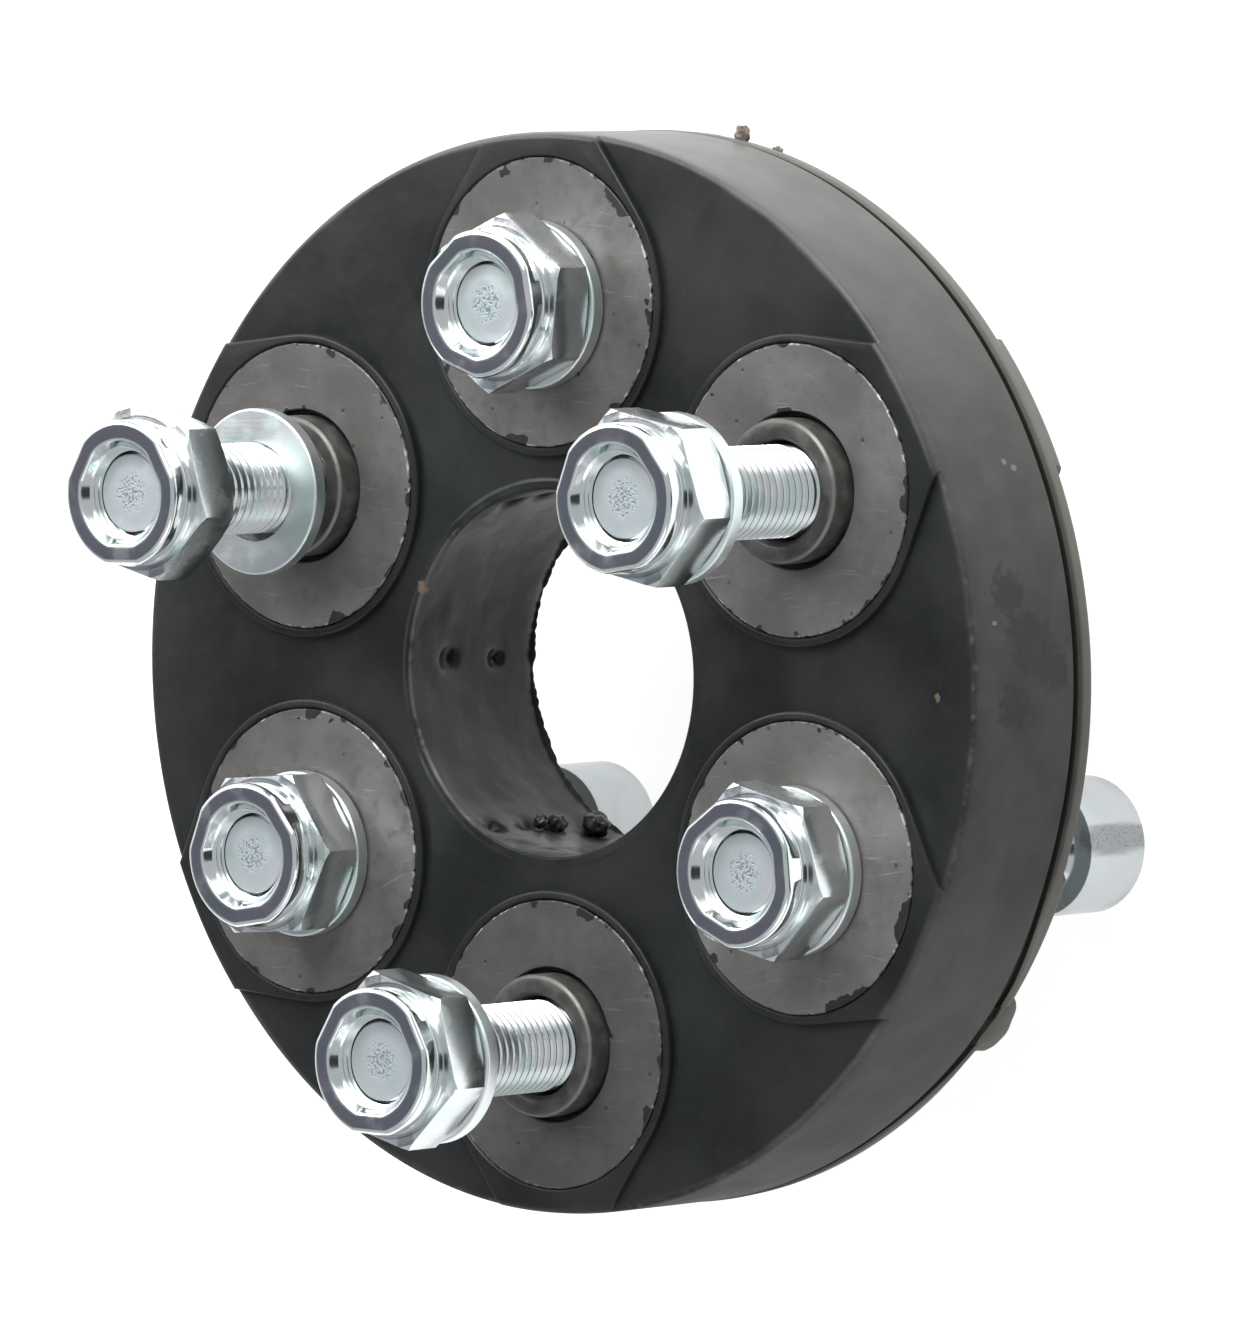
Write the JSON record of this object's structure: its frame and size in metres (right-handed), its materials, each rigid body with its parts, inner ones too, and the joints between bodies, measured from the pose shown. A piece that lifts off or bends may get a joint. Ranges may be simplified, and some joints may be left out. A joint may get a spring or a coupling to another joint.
{
  "type": "driveshaft flex disc",
  "caption": "Rubber driveshaft flex disc with steel face plates, sleeves and hidden cord windings, and its socket screws, collar nuts and washers loosely fitted.",
  "frame": {"origin": "centre of the disc's axis, at the level that the heads of the standing-off screws rest on", "axes": "+Z along the disc's axis towards the nut side, +Y towards station 1; the stations follow clockwise seen from +Z"},
  "size_m": [0.14, 0.14, 0.0969],
  "materials": {
    "rubber": "moulded, dusty, near-black",
    "cord": "rubber-dipped polyester cord, hidden",
    "plate_steel": "worn dark phosphate with rubber residue",
    "sleeve_steel": "dark phosphated, turned",
    "zinc": "bright zinc plate"
  },
  "bodies": {
    "root": {"rubber_body": "rubber", "cord_pack_middle_1_2": "cord", "cord_pack_middle_3_4": "cord", "cord_pack_middle_5_6": "cord", "cord_pack_front_2_3": "cord", "cord_pack_front_4_5": "cord", "cord_pack_front_6_1": "cord", "cord_pack_rear_2_3": "cord", "cord_pack_rear_4_5": "cord", "cord_pack_rear_6_1": "cord", "front_plate_1": "plate_steel", "front_plate_2": "plate_steel", "front_plate_3": "plate_steel", "front_plate_4": "plate_steel", "front_plate_5": "plate_steel", "front_plate_6": "plate_steel", "rear_plate_1": "plate_steel", "rear_plate_2": "plate_steel", "rear_plate_3": "plate_steel", "rear_plate_4": "plate_steel", "rear_plate_5": "plate_steel", "rear_plate_6": "plate_steel", "sleeve_1": "sleeve_steel", "sleeve_2": "sleeve_steel", "sleeve_3": "sleeve_steel", "sleeve_4": "sleeve_steel", "sleeve_5": "sleeve_steel", "sleeve_6": "sleeve_steel", "screw_1": "zinc", "screw_2": "zinc", "screw_3": "zinc", "screw_4": "zinc", "screw_5": "zinc", "screw_6": "zinc", "nut_1": "zinc", "nut_2": "zinc", "nut_3": "zinc", "nut_4": "zinc", "nut_5": "zinc", "nut_6": "zinc", "washer_1": "zinc", "washer_2": "zinc", "washer_3": "zinc", "washer_4": "zinc", "washer_5": "zinc", "washer_6": "zinc"}
  },
  "joints": []
}
